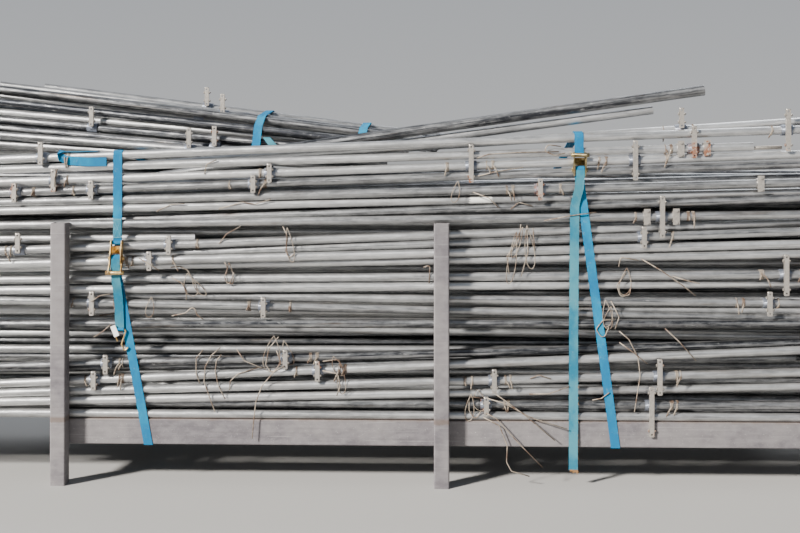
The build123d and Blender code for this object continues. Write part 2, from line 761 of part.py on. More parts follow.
def frontmost(spots, rounds, blocked):
    """Furthest back that a wire can lie at points x, z, before the rounds and all that is blocked.

    Blocked things are lines x, z, x, z with a half width and a front.
    """
    reach = wire_radius + clearance
    x, z = spots[:, 0, None], spots[:, 1, None]
    over = rounds[:, 6] + reach
    drop = over ** 2 - (z - rounds[:, 4] - rounds[:, 5] * x) ** 2
    hit = (drop > 0) & (rounds[:, 0] - reach < x) & (rounds[:, 1] + reach > x)
    axis = rounds[:, 2] + rounds[:, 3] * x
    limit = np.where(hit, axis - np.sqrt(np.maximum(drop, 0)), rack_inside).min(axis=1)
    beside = np.abs(spots[:, 1] - beam_underside - beam_height / 2) < beam_height / 2 + reach
    limit = np.where(beside, np.minimum(limit, -rack_inside - reach), limit)
    a, run = blocked[:, 0:2], blocked[:, 2:4] - blocked[:, 0:2]
    out = spots[:, None] - a[None]
    share = np.clip((out * run).sum(axis=2) / np.maximum((run ** 2).sum(axis=1), 1e-9), 0, 1)
    apart = np.linalg.norm(out - share[:, :, None] * run, axis=2)
    before = np.where(apart < blocked[:, 4] + reach, blocked[:, 5] - reach, rack_inside)
    return np.minimum(limit, before.min(axis=1))


def lay_wires(rounds, blocked):
    """Lay each tie wire against what it crosses, its far end standing out a little."""
    solids = []
    for wire in tie_wires:
        path = bent_path([(x, 0, z) for x, z in wire], wire_bend)
        count = math.ceil(path.length / wire_step)
        spots = np.array([((path @ (i / count)).X, (path @ (i / count)).Z)
                          for i in range(count + 1)])
        travel = np.linalg.norm(np.diff(spots, axis=0), axis=1)
        travel = np.concatenate([[0], travel.cumsum()])
        out = wire_rise * travel / travel[-1]
        back = (frontmost(spots, rounds, blocked) + out).min()
        corners = [np.linalg.norm(spots - np.array(p), axis=1).argmin() for p in wire]
        solids.append(bent_wire([(x, back - out[i], z) for (x, z), i in zip(wire, corners)],
                                wire_radius, wire_bend))
        own = np.column_stack([spots[:-1], spots[1:], np.full(len(out) - 1, wire_radius),
                               back - out[1:] - wire_radius])
        blocked = np.vstack([blocked, own])
    return solids


def ratchet_lines(top):
    """Back of a ratchet, and the y and z of its pin and of its spindle."""
    back = -rack_inside - 2 * clearance - strap_thickness
    pin = (back - pin_radius - ratchet_plate, top - pin_drop)
    spindle = (back - roll_radius, top - ratchet_height + spindle_rise)
    return back, pin, spindle


def ratchet_solids(x, top, grip_place):
    """Frame, pin, spindle, webbing roll and handle of a ratchet, in front of the strap."""
    back, pin_place, spindle_place = ratchet_lines(top)
    front = back - ratchet_depth
    half = strap_width / 2 + 2
    low = top - ratchet_height
    shoulder = spindle_place[1] + roll_radius
    outline = [(back, low), (back, top), (front + roll_radius, top), (front, shoulder), (front, low)]
    frame = box(x - half - clearance, x + half + clearance, back - ratchet_plate, back,
                shoulder + ratchet_plate, pin_place[1] - 2 * pin_radius - 2 * strap_thickness)
    for side in (-1, 1):
        frame += upright_plate(x + side * half, x + side * (half + ratchet_plate), outline)
    outer = half + ratchet_plate
    rods = []
    for (y, z), radius, out in ((pin_place, pin_radius, 3), (spindle_place, spindle_radius, 9)):
        frame -= rod((x - 2 * outer, y, z), (x + 2 * outer, y, z), radius + clearance)
        rods.append(rod((x - outer - out, y, z), (x + outer + out, y, z), radius))
    y, z = spindle_place
    bore = rod((x - 2 * outer, y, z), (x + 2 * outer, y, z), spindle_radius + clearance)
    roll = rod((x - strap_width / 2, y, z), (x + strap_width / 2, y, z), roll_radius) - bore

    near = Vector(0, y, z)
    far = near + Vector(0, -grip_place[0], grip_place[1])
    along = (far - near).normalized() * (handle_width / 2)
    across = Vector(0, -along.Z, along.Y)
    corners = [near - along + across, near - along - across, far + along / 2 - across,
               far + along / 2 + across]
    handle = rod((x - grip_length / 2, far.Y, far.Z), (x + grip_length / 2, far.Y, far.Z),
                 grip_radius)
    for side in (-1, 1):
        inner = outer + clearance
        handle += upright_plate(x + side * inner, x + side * (inner + ratchet_plate),
                                [(c.Y, c.Z) for c in corners])
    return frame.solid(), rods[0], rods[1], roll.solid(), (handle - bore).solid()


def loose_end(x, top, points):
    """Webbing that leaves the front of a ratchet's roll and hangs down through points x, y, z."""
    _, _, (y, z) = ratchet_lines(top)
    front = y - roll_radius - clearance - strap_thickness / 2
    start = [(x, front, z), (x, front, z - 1.6 * roll_radius)]
    return ribbon([(p, (1, 0, 0)) for p in start + points])


def hook_solids(end):
    """Folded end of the webbing with its loop, the bent wire hook in it, and the blank tag."""
    x, y, z = end
    half = strap_width / 2
    inner = hook_radius + clearance
    outer = inner + strap_thickness
    back = y + 1.5 * strap_thickness + clearance
    loop_y, loop_z = back - outer, z - clearance - outer
    loop = rod((x - half, loop_y, loop_z), (x + half, loop_y, loop_z), outer)
    loop += box(x - half, x + half, back - strap_thickness, back, loop_z, z + strap_width)
    loop -= rod((x - strap_width, loop_y, loop_z), (x + strap_width, loop_y, loop_z), inner)
    reach = half + 3 * hook_radius
    hook = bent_wire([(x - 8, loop_y, loop_z - 47), (x - reach, loop_y, loop_z),
                      (x + reach, loop_y, loop_z), (x + 8, loop_y, loop_z - 58),
                      (x + 20, loop_y, loop_z - 86), (x + 34, loop_y, loop_z - 70)],
                     hook_radius, 2.5 * hook_radius)
    tag = Pos(x - half, loop_y - outer - clearance - tag_size[1] / 2, loop_z - 6) \
        * Rot(0, tag_turn, 0) * Box(*tag_size)
    return loop.solid(), hook, tag.solid()


def write_node(name, solids):
    """Write one node as one STEP file."""
    export_step(Compound(list(solids)), os.path.join("parts", name + ".step"))


def main():
    """Pack the stack, make every piece and write it."""
    os.makedirs("parts", exist_ok=True)
    rng = random.Random(fill_seed)

    named = {}
    placed = []
    ringed = [(owner, x) for owner, x, *_ in brackets] + pipe_clamps
    for name, *line in front_tubes:
        tube = front_line(*line)
        parts = [tube] + [ring_on(tube, x) for owner, x in ringed if owner == name]
        if placed:
            raise_clear(parts, np.array([part.row() for part in placed]))
        placed.extend(parts)
        named[name] = tube
    front = list(named.values())

    filled = fill_stack(rng, placed)
    strapped = front + filled
    straps = list(zip(strap_places, strap_bends, strap_feet))
    roofs = [(strap[0], roof_over(strap, strapped)) for strap in straps]
    for name, *line in rising_tubes:
        tube = front_line(*line)
        raise_clear([tube], np.array([part.row() for part in placed]), roofs)
        placed.append(tube)
        named[name] = tube
    fan, fan_rings = lay_fan(rng, placed, roofs)
    every_tube = list(named.values()) + filled + fan

    write_node("posts", make_posts())
    write_node("long_beams", make_long_beams())
    write_node("cross_beams", make_cross_beams())
    write_node("front_tubes", [tube_solid(t) for t in front])
    write_node("rising_tubes", [tube_solid(named[name]) for name, *_ in rising_tubes])
    write_node("fan_tubes", [tube_solid(t) for t in fan])
    filled.sort(key=lambda t: t.z)
    for i in range(0, len(filled), layer_size):
        write_node(f"inner_tubes_{i // layer_size + 1:02d}",
                   [tube_solid(t) for t in filled[i:i + layer_size]])

    blocked = []
    rings, bars, bolts = [], [], []
    marks = [(named[owner], x, length, shift) for owner, x, length, shift in brackets]
    marks += [(tube, x, fan_bar_length, fan_bar_shift) for tube, x in fan_rings
              if bar_is_clear(tube, x, fan_bar_length, fan_bar_shift, every_tube)]
    nut_reach = nut_across / math.sqrt(3)
    for tube, x, length, shift in marks:
        ring, bar, pair = bracket_solids(tube, x, length, shift)
        rings.append(ring)
        bars.append(bar)
        bolts.extend(pair)
        back, low, high = bar_place(tube, x, length, shift)
        blocked.append((x, low + bar_edge, x, high - bar_edge, bar_width / 2, back - bar_depth))
        for z in (low + bolt_margin, high - bolt_margin):
            blocked.append((x - bar_width / 2, z, x + bar_width / 2, z, nut_reach,
                            back - bar_depth / 2 - nut_reach))
    rings += [tube_solid(ring_on(tube, x)) for tube, x in fan_rings
              if not bar_is_clear(tube, x, fan_bar_length, fan_bar_shift, every_tube)]
    write_node("bracket_rings", rings)
    write_node("lug_bars", bars)
    write_node("bracket_bolts", bolts)

    clamps, clamp_bolts = [], []
    for owner, x in pipe_clamps:
        clamp, pair = clamp_solids(named[owner], x)
        clamps.append(clamp)
        clamp_bolts.extend(pair)
        z = named[owner].at(x).Z
        blocked.append((x, z - clamp_height / 2, x, z + clamp_height / 2, clamp_width / 2,
                        -rack_inside - 2 * ring_wall - nut_height))
    write_node("pipe_clamps", clamps)
    write_node("pipe_clamp_bolts", clamp_bolts)
    end_tube = named["f25"]
    drop = end_tube.radius - end_tube.wall - spigot_radius - clearance
    spigot_end = end_tube.x1 + spigot_out
    spigot = Tube(spigot_end - spigot_length, spigot_end, end_tube.y, end_tube.y_run,
                  end_tube.z - drop, end_tube.z_run, spigot_radius, 0)
    write_node("thin_rod", [rod(spigot.at(spigot.x0), spigot.at(spigot.x1), spigot_radius)])

    for word, strap, top, grip_place in zip(("left", "right"), straps, ratchet_tops, grip_places):
        _, (pin_y, pin_z), (_, roll_z) = ratchet_lines(top)
        band = strap_band(strap, strapped, roll_z, pin_y, pin_z)
        write_node(f"{word}_strap", [band])
        frame, pin, spindle, roll, handle = ratchet_solids(strap[0], top, grip_place)
        write_node(f"{word}_ratchet_frame", [frame])
        write_node(f"{word}_ratchet_pin", [pin])
        write_node(f"{word}_ratchet_spindle", [spindle])
        write_node(f"{word}_webbing_roll", [roll])
        write_node(f"{word}_ratchet_handle", [handle])
        for high, low in ((2 * post_height, strap[1]), (strap[1], beam_underside)):
            blocked.append((lean(strap, high), high, lean(strap, low), low, strap_width / 2,
                            -rack_inside - clearance - strap_thickness))

    webbing = loose_end(strap_places[0], ratchet_tops[0], left_end_points)
    loop, hook, tag = hook_solids(left_end_points[-1])
    write_node("left_loose_end", [webbing])
    write_node("left_end_loop", [loop])
    write_node("left_hook", [hook])
    write_node("blank_tag", [tag])
    tail = loose_end(strap_places[1], ratchet_tops[1], right_tail_points)
    write_node("right_tail", [tail])
    carrier = named["f26"]
    slack = [((x, carrier.at(x).Y - before, carrier.at(x).Z + above), across)
             for x, before, above, across in slack_turns]
    write_node("slack_loop", [ribbon(turned_gently(slack, slack_steps))])
    for line in (left_end_points, right_tail_points, [p for p, _ in slack]):
        for (x0, y0, z0), (x1, y1, z1) in zip(line, line[1:]):
            blocked.append((x0, z0, x1, z1, strap_width / 2, min(y0, y1) - strap_thickness / 2))
    everything = np.array([part.row() for part in placed])
    write_node("tie_wires", lay_wires(everything, np.array(blocked)))

    arches = [arch_band(x, fan) for x in rear_strap_places]
    write_node("rear_straps", [arch for arch, _ in arches])
    write_node("rear_buckle", [buckle_solid(rear_strap_places[0], arches[0][1])])


main()
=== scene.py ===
import json
import math

import bmesh
import bpy
import numpy as np
from mathutils import Matrix, Vector
from mathutils.bvhtree import BVHTree


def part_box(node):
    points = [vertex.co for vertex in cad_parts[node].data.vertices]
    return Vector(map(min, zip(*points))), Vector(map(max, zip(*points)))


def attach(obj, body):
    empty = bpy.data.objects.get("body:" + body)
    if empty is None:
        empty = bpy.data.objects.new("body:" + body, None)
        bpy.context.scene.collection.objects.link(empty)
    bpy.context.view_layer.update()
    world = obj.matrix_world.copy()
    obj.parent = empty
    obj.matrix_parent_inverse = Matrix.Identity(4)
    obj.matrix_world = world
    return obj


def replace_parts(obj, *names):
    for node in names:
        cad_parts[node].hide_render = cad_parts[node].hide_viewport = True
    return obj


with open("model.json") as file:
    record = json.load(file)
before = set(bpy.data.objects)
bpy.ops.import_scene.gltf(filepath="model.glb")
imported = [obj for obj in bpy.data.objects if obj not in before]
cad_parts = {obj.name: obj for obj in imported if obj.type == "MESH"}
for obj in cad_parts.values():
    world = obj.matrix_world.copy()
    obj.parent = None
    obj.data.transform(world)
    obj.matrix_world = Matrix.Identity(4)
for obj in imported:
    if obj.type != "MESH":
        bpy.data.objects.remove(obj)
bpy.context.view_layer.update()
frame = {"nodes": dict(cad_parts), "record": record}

# A rack filled with galvanised tubes, lashed with blue webbing. Metres, X along the tubes,
# -Y to the front, Z up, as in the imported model.

dice = np.random.default_rng(4)
tube_sides = 32
rim_rounding = 0.0006
wire_radius = 0.0015
thread_radius = 0.0006


# Materials

class Value:
    """A number or colour that varies over a surface. Arithmetic on it adds Math nodes."""

    def __init__(self, nodes, socket):
        self.nodes = nodes
        self.socket = socket

    def math(self, operation, *others):
        inputs = dict(enumerate((self, *others)))
        return self.nodes.node("ShaderNodeMath", {"operation": operation}, inputs)

    def __add__(self, other):
        return self.math("ADD", other)

    def __sub__(self, other):
        return self.math("SUBTRACT", other)

    def __rsub__(self, other):
        return (self * -1) + other

    def __mul__(self, other):
        return self.math("MULTIPLY", other)

    __radd__ = __add__
    __rmul__ = __mul__

    def ramp(self, low, high):
        """0 below low, 1 above high, smooth between."""
        return self.nodes.node("ShaderNodeMapRange", {"interpolation_type": "SMOOTHSTEP"},
                               {"Value": self, "From Min": low, "From Max": high})


class Nodes:
    """The nodes of a material or of the world."""

    def __init__(self, owner):
        owner.use_nodes = True
        self.tree = owner.node_tree

    def feed(self, socket, value):
        """Link a value to a socket, or set a plain number or colour on it."""
        if isinstance(value, Value):
            self.tree.links.new(value.socket, socket)
        else:
            socket.default_value = value

    def node(self, kind, settings=None, inputs=None, output=0):
        """Add a node: its settings first, then the values or links of its sockets.

        The stops of a colour ramp are pairs of place and colour, the first two of them in the
        places of the ramp's own.
        """
        made = self.tree.nodes.new(kind)
        for key, value in (settings or {}).items():
            if key == "stops":
                elements = made.color_ramp.elements
                for i, (place, colour) in enumerate(value):
                    stop = elements[i] if i < len(elements) else elements.new(place)
                    stop.position, stop.color = place, colour
            else:
                setattr(made, key, value)
        for key, value in (inputs or {}).items():
            self.feed(made.inputs[key], value)
        return Value(self, made.outputs[output])

    def split(self, vector, axis):
        """One part of a vector."""
        return self.node("ShaderNodeSeparateXYZ", None, {0: vector}, axis)


class Finish(Nodes):
    """One material: its shader and the patterns that feed it."""

    def __init__(self, name, metallic=0.0, roughness=0.5):
        self.material = bpy.data.materials.new(name)
        super().__init__(self.material)
        self.shader = self.tree.nodes["Principled BSDF"]
        self.set("Metallic", metallic)
        self.set("Roughness", roughness)

    def set(self, name, value):
        """Feed one socket of the shader."""
        self.feed(self.shader.inputs[name], value)

    def place(self):
        """Object coordinates."""
        return self.node("ShaderNodeTexCoord", output="Object")

    def stretched(self, vector, scale):
        """A vector times a scale along each axis."""
        return self.node("ShaderNodeVectorMath", {"operation": "MULTIPLY"},
                         {0: vector, 1: scale})

    def noise(self, vector, scale, detail=4.0, rough=0.55):
        """Cloudy noise from 0 to 1."""
        return self.node("ShaderNodeTexNoise", None,
                         {"Vector": vector, "Scale": scale, "Detail": detail, "Roughness": rough})

    def mix(self, factor, a, b):
        """Colour a at factor 0, colour b at factor 1."""
        return self.node("ShaderNodeMix", {"data_type": "RGBA"}, {0: factor, 6: a, 7: b}, 2)

    def attribute(self, name):
        """A number stored on the mesh."""
        return self.node("ShaderNodeAttribute", {"attribute_name": name}, None, "Fac")

    def bump(self, height, distance):
        """Raise the surface by height times distance, in metres."""
        self.set("Normal", self.node("ShaderNodeBump", None,
                                     {"Height": height, "Distance": distance, "Strength": 1.0}))


def galvanised_tube():
    """Weathered zinc: long streaks along each tube, dull clouds, scuffs, a few brown stains."""
    f = Finish("weathered_zinc", metallic=0.82)
    along = f.node("ShaderNodeUVMap", {"uv_map": "tube"})
    streak = f.noise(f.stretched(along, (60.0, 1.2, 1.0)), 1.0, 6.0, 0.65)
    fine = f.noise(f.stretched(along, (420.0, 9.0, 1.0)), 1.0, 4.0, 0.7)
    cloud = f.noise(f.stretched(along, (30.0, 12.0, 1.0)), 1.0, 5.0, 0.65)
    tone = f.attribute("tone")
    level = (streak.ramp(0.3, 0.7) * 0.5 + fine.ramp(0.3, 0.7) * 0.22
             + cloud.ramp(0.35, 0.65) * 0.2 + tone * 0.8 - 0.39)
    grey = f.mix(level, (0.03, 0.032, 0.038, 1), (0.655, 0.655, 0.65, 1))
    scuff = f.noise(f.stretched(along, (55.0, 18.0, 1.0)), 1.0, 6.0, 0.75).ramp(0.58, 0.68)
    grey = f.mix(scuff * 0.35, grey, (0.70, 0.69, 0.67, 1))
    stain = f.noise(f.stretched(along, (26.0, 2.3, 1.0)), 1.0, 6.0, 0.7).ramp(0.56, 0.72)
    brown = f.mix(stain * 0.4, grey, (0.22, 0.16, 0.11, 1))
    f.set("Base Color", brown)
    f.set("Roughness", 0.17 + 0.22 * fine + 0.14 * cloud)
    f.bump(fine * 0.7 + cloud * 0.3, 0.0009)
    return f.material


def rack_steel():
    """Matte hot-dip zinc: mottled grey with a faint mauve, small white specks and scratches.

    A darker brown band runs along the upper edges of the beams and across the posts there.
    """
    f = Finish("rack_zinc", metallic=0.35)
    place = f.place()
    mottle = f.noise(f.stretched(place, (20.0, 20.0, 34.0)), 1.0, 6.0, 0.65)
    broad = f.noise(place, 3.0, 5.0, 0.65)
    speck = f.noise(place, 260.0, 2.0, 0.5).ramp(0.68, 0.74)
    scratch = f.noise(f.stretched(place, (3.0, 3.0, 160.0)), 1.0, 2.0).ramp(0.66, 0.72)
    base = f.mix(mottle.ramp(0.3, 0.7), (0.112, 0.101, 0.111, 1), (0.178, 0.164, 0.171, 1))
    base = f.mix(broad.ramp(0.42, 0.6) * 0.4, base, (0.265, 0.247, 0.238, 1))
    base = f.mix(speck * 0.6, base, (0.45, 0.45, 0.43, 1))
    base = f.mix(scratch * 0.35, base, (0.36, 0.35, 0.34, 1))
    rub = f.noise(f.stretched(place, (1.5, 90.0, 90.0)), 1.0, 4.0, 0.6)
    base = f.mix(rub.ramp(0.5, 0.75) * 0.3, base, (0.08, 0.072, 0.075, 1))
    height = f.split(place, "Z")
    edge = f.noise(place, 16.0, 5.0, 0.7)
    # A darker brown band along the beams' upper edges, and across the posts at that height.
    upper_edge_band = (height + edge * 0.02).ramp(0.252, 0.262) * (1 - height.ramp(0.262, 0.275))
    base = f.mix(upper_edge_band * 0.55, base, (0.11, 0.07, 0.045, 1))
    f.set("Base Color", base)
    f.set("Roughness", 0.5 + 0.25 * mottle)
    f.bump(mottle, 0.0008)
    return f.material


def fitting_steel(name, dark, light, rusting):
    """Dull zinc on the fittings, brown rust where the zinc has gone."""
    f = Finish(name)
    place = f.place()
    grain = f.noise(place, 140.0, 4.0, 0.6)
    patch = f.noise(place, 6.0, 2.0)
    worn = f.noise(place, 60.0, 6.0, 0.75)
    base = f.mix(grain * 0.7 + patch * 0.3, dark, light)
    rust = patch.ramp(rusting, rusting + 0.05) * worn.ramp(0.38, 0.55)
    base = f.mix(rust * 0.92, base, (0.15, 0.045, 0.012, 1))
    f.set("Base Color", base)
    f.set("Metallic", 0.7 - 0.6 * rust)
    f.set("Roughness", 0.36 + 0.4 * rust + 0.15 * grain)
    f.bump(grain + worn, 0.0005)
    return f.material


def wire_steel():
    """Bare wire gone dull brown."""
    f = Finish("bare_wire", metallic=0.35, roughness=0.6)
    place = f.place()
    grain = f.noise(place, 90.0, 4.0, 0.65)
    dark = f.noise(place, 22.0, 3.0)
    base = f.mix(grain, (0.13, 0.10, 0.075, 1), (0.42, 0.36, 0.29, 1))
    base = f.mix(dark.ramp(0.47, 0.6) * 0.8, base, (0.09, 0.045, 0.025, 1))
    f.set("Base Color", base)
    f.bump(grain, 0.0004)
    return f.material


def yellow_zinc():
    """Yellow zinc plating, worn paler on its high spots; the right ratchet's is darker."""
    f = Finish("yellow_zinc", metallic=0.9)
    place = f.place()
    cloud = f.noise(place, 45.0, 4.0, 0.6)
    wear = f.noise(place, 120.0, 5.0, 0.7).ramp(0.5, 0.65)
    right = f.split(place, "X").ramp(-0.1, 0.1)
    base = f.mix(cloud.ramp(0.3, 0.7), (0.36, 0.19, 0.05, 1), (0.88, 0.64, 0.28, 1))
    base = f.mix(right * 0.75, base, (0.17, 0.15, 0.075, 1))
    base = f.mix(wear * 0.5, base, (0.66, 0.63, 0.50, 1))
    f.set("Base Color", base)
    f.set("Roughness", 0.22 + 0.3 * cloud)
    f.bump(cloud, 0.0004)
    return f.material


def webbing(name, deep, bleached, low, high):
    """Woven polyester: ribs across the strap, soiled, and bleached in patches.

    Noise above low begins to bleach it, and above high it is fully bleached.
    """
    f = Finish(name, roughness=0.75)
    place = f.place()
    x, y, z = (f.split(place, axis) for axis in "XYZ")
    rib = ((z + y) * 2600.0 + x * 900.0).math("SINE")
    warp = (x * 3300.0).math("SINE")
    weave = rib * 0.5 + warp * 0.5
    fade = f.noise(f.stretched(place, (9.0, 4.0, 6.0)), 1.0, 5.0, 0.6)
    thread = f.noise(f.stretched(place, (900.0, 60.0, 60.0)), 1.0, 2.0)
    dirt = f.noise(place, 60.0, 6.0, 0.75)
    base = f.mix(fade.ramp(low, high) * 0.8 + thread * 0.2, deep, bleached)
    base = f.mix(weave.ramp(-0.8, 0.8) * 0.25, base, (0.0, 0.07, 0.20, 1))
    base = f.mix(dirt.ramp(0.55, 0.75) * 0.35, base, (0.30, 0.36, 0.36, 1))
    f.set("Base Color", base)
    f.set("Specular IOR Level", 0.2)
    f.bump(weave, 0.0005)
    return f.material


def tag_cloth():
    """Plain white label cloth, a little soiled."""
    f = Finish("label_cloth", roughness=0.8)
    place = f.place()
    weave = f.noise(place, 900.0, 2.0)
    soil = f.noise(place, 60.0, 4.0)
    f.set("Base Color", f.mix(soil.ramp(0.45, 0.75) * 0.4, (0.83, 0.82, 0.78, 1),
                              (0.52, 0.47, 0.38, 1)))
    f.bump(weave, 0.0003)
    return f.material


def plain_finish(name, dark, light, roughness):
    """A mottled matte finish between two tones."""
    f = Finish(name, roughness=roughness)
    f.set("Base Color", f.mix(f.noise(f.place(), 80.0, 6.0, 0.7), dark, light))
    return f.material


cream, mid_grey = (0.62, 0.565, 0.49, 1), (0.16, 0.155, 0.155, 1)
finishes = {
    "galvanised_tube": galvanised_tube(),
    "rack_steel": rack_steel(),
    "bracket_steel": fitting_steel("fitting_zinc", mid_grey, cream, 0.60),
    "bolt_steel": fitting_steel("bolt_zinc", mid_grey, cream, 0.56),
    "wire_steel": wire_steel(),
    "yellow_zinc": yellow_zinc(),
    "webbing": webbing("blue_webbing", (0.0, 0.13, 0.28, 1), (0.0, 0.25, 0.42, 1), 0.45, 0.70),
    "tag_cloth": tag_cloth(),
}
# The brackets' rings get a darker, bluer copy of the fitting zinc: painted shade, for the shade
# they sit in on the tubes.
ring_zinc_painted_shade = fitting_steel("ring_zinc_painted_shade", (0.06, 0.075, 0.12, 1), (0.34, 0.36, 0.40, 1), 0.62)
bleached_webbing = webbing("bleached_webbing", (0.0, 0.135, 0.22, 1), (0.07, 0.26, 0.31, 1),
                           0.35, 0.60)
special_finish = {
    "bracket_rings": ring_zinc_painted_shade,
    "right_tail": bleached_webbing,
    "left_loose_end": bleached_webbing,
}
frayed = plain_finish("frayed_ends", (0.10, 0.045, 0.015, 1), (0.42, 0.23, 0.09, 1), 0.9)
thread = plain_finish("pale_thread", (0.05, 0.22, 0.36, 1), (0.40, 0.62, 0.70, 1), 0.85)
whitewash = plain_finish("white_paint", (0.60, 0.59, 0.55, 1), (0.86, 0.85, 0.80, 1), 0.7)
slot_of = {s["node"]: s["material_slot"] for s in frame["record"]["subparts"]}


# Pieces

def solid_parts(node):
    """Separate solids of a CAD node: the corner points of each, as arrays.

    Corners that round to the same place are one. Every corner is given the lowest label on its
    faces again and again, until each solid has one label.
    """
    decimals = 5
    mesh = frame["nodes"][node].data
    points = np.empty(len(mesh.vertices) * 3)
    mesh.vertices.foreach_get("co", points)
    points = points.reshape(-1, 3)
    corners = np.empty(len(mesh.loops), dtype=int)
    mesh.loops.foreach_get("vertex_index", corners)
    _, same = np.unique(np.round(points, decimals), axis=0, return_inverse=True)
    same = same.ravel()
    faces = same[corners.reshape(-1, 3)]
    count = same.max() + 1
    label = np.arange(count)
    while True:
        low = label[faces].min(axis=1)
        new = label.copy()
        for column in range(3):
            np.minimum.at(new, faces[:, column], low)
        new = new[new]
        if (new == label).all():
            break
        label = new
    unique_points = np.zeros((count, 3))
    unique_points[same] = points
    return [unique_points[label == k] for k in np.unique(label)]


def straight_tube(points):
    """Ends, outer radius and bore radius of a tube, from its corner points.

    The longest direction of the points is the axis, and the middles of the points at either
    end are its ends.
    """
    end_depth = 0.002
    middle = points.mean(axis=0)
    axis = np.linalg.svd(points - middle, full_matrices=False)[2][0]
    axis *= np.sign(axis[0])
    reach = (points - middle) @ axis
    start, end = (points[np.abs(reach - edge) < end_depth].mean(axis=0)
                  for edge in (reach.min(), reach.max()))
    axis = (end - start) / np.linalg.norm(end - start)
    out = points - start
    out = np.linalg.norm(out - np.outer(out @ axis, axis), axis=1)
    return start, end, out.max(), out.min()


def grid_faces(rows, columns, ends_meet=False):
    """Four-sided faces of a grid of points, whose columns run round a shape."""
    i, j = np.meshgrid(np.arange(rows if ends_meet else rows - 1), np.arange(columns),
                       indexing="ij")
    next_i, next_j = (i + 1) % rows, (j + 1) % columns
    corners = [i * columns + j, i * columns + next_j,
               next_i * columns + next_j, next_i * columns + j]
    return np.stack(corners, axis=-1).reshape(-1, 4)


def tube_mesh(name, tubes, tone_range):
    """All the tubes of a node as one smooth mesh, each tube with a tone of its own.

    A tube is an outline turned round its axis: points are end + s * axis + r * (cos a * across
    + sin a * up), for tube_sides angles a. The outline (s, r) runs out over the end, along the
    outside over small roundings at the rims, in over the other end, and back through the bore.
    UV is metres round and along, from a random start on each tube.
    """
    corners, streak_start, sharp_edge = 6, 50, 40
    start, end = (np.array([tube[i] for tube in tubes]) for i in (0, 1))
    outer, bore = (np.array([tube[i] for tube in tubes]) for i in (2, 3))
    length = np.linalg.norm(end - start, axis=1)
    axis = (end - start) / length[:, None]
    across = np.cross(axis, (0, 0, 1.0))
    across /= np.linalg.norm(across, axis=1)[:, None]
    up = np.cross(axis, across)
    zero, rim = length * 0, length * 0 + rim_rounding
    along = np.stack([zero, zero, rim, length - rim, length, length, zero], axis=1)
    reach = np.stack([bore, outer - rim, outer, outer, outer - rim, bore], axis=1)
    turn = np.arange(tube_sides) * 2 * np.pi / tube_sides
    ring = np.cos(turn)[:, None] * across[:, None] + np.sin(turn)[:, None] * up[:, None]
    points = (start[:, None, None] + along[:, :corners, None, None] * axis[:, None, None]
              + reach[:, :, None, None] * ring[:, None])
    faces = grid_faces(corners, tube_sides, ends_meet=True)
    per_tube = corners * tube_sides
    faces = faces + (np.arange(len(tubes)) * per_tube)[:, None, None]

    tones, rolls, shifts = (dice.uniform(low, high, len(tubes))
                            for low, high in (tone_range, (0, 1), (0, streak_start)))
    i, j = np.meshgrid(np.arange(corners), np.arange(tube_sides), indexing="ij")
    side = outer[:, None, None, None] * 2 * np.pi / tube_sides
    u = np.stack([j, j + 1, j + 1, j], axis=-1) * side + rolls[:, None, None, None]
    v = np.stack([along[:, i], along[:, i], along[:, i + 1], along[:, i + 1]], axis=-1)
    uv = np.stack([u, v + shifts[:, None, None, None]], axis=-1)

    mesh = bpy.data.meshes.new(name)
    mesh.from_pydata(points.reshape(-1, 3).tolist(), [], faces.reshape(-1, 4).tolist())
    mesh.uv_layers.new(name="tube").data.foreach_set("uv", uv.ravel())
    tone = mesh.attributes.new("tone", "FLOAT", "POINT")
    tone.data.foreach_set("value", np.repeat(tones, per_tube))
    mesh.shade_smooth()
    mesh.set_sharp_from_angle(angle=math.radians(sharp_edge))
    return add_piece(name, mesh, "galvanised_tube")


def add_piece(name, mesh, slot, finish=None):
    """Put a mesh into the scene with the finish of its slot, or another one."""
    mesh.materials.clear()
    mesh.materials.append(finish or finishes[slot])
    piece = bpy.data.objects.new(name, mesh)
    bpy.context.collection.objects.link(piece)
    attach(piece, "root")
    return piece


def smooth_copy(node):
    """A CAD node with its doubled corners merged, smooth but for its sharp edges."""
    same_place, sharp_edge = 1e-6, 32
    mesh = frame["nodes"][node].data.copy()
    welded = bmesh.new()
    welded.from_mesh(mesh)
    bmesh.ops.remove_doubles(welded, verts=welded.verts, dist=same_place)
    welded.to_mesh(mesh)
    welded.free()
    mesh.shade_smooth()
    mesh.set_sharp_from_angle(angle=math.radians(sharp_edge))
    piece = add_piece(node + "_shown", mesh, slot_of[node], special_finish.get(node))
    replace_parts(piece, node)


def mesh_of(name, shells, sharp=180):
    """One mesh from closed shells, each its points and its four-sided faces.

    It is smooth but for edges sharper than the given angle, and its faces point outwards.
    """
    points, faces, base = [], [], 0
    for shell_points, shell_faces in shells:
        points.append(shell_points)
        faces.append(shell_faces + base)
        base += len(shell_points)
    mesh = bpy.data.meshes.new(name)
    mesh.from_pydata(np.vstack(points).tolist(), [], np.vstack(faces).tolist())
    work = bmesh.new()
    work.from_mesh(mesh)
    bmesh.ops.recalc_face_normals(work, faces=work.faces)
    work.to_mesh(mesh)
    work.free()
    mesh.shade_smooth()
    mesh.set_sharp_from_angle(angle=math.radians(sharp))
    return mesh


def closed_run(sections):
    """A shell from sections with an even number of corners each, closed at both ends."""
    sections = np.asarray(sections)
    rows, columns = sections.shape[:2]
    cap = np.array([[0, k, k + 1, k + 2] for k in range(1, columns - 2, 2)])
    faces = [grid_faces(rows, columns), cap, cap[:, ::-1] + (rows - 1) * columns]
    return sections.reshape(-1, 3), np.vstack(faces)


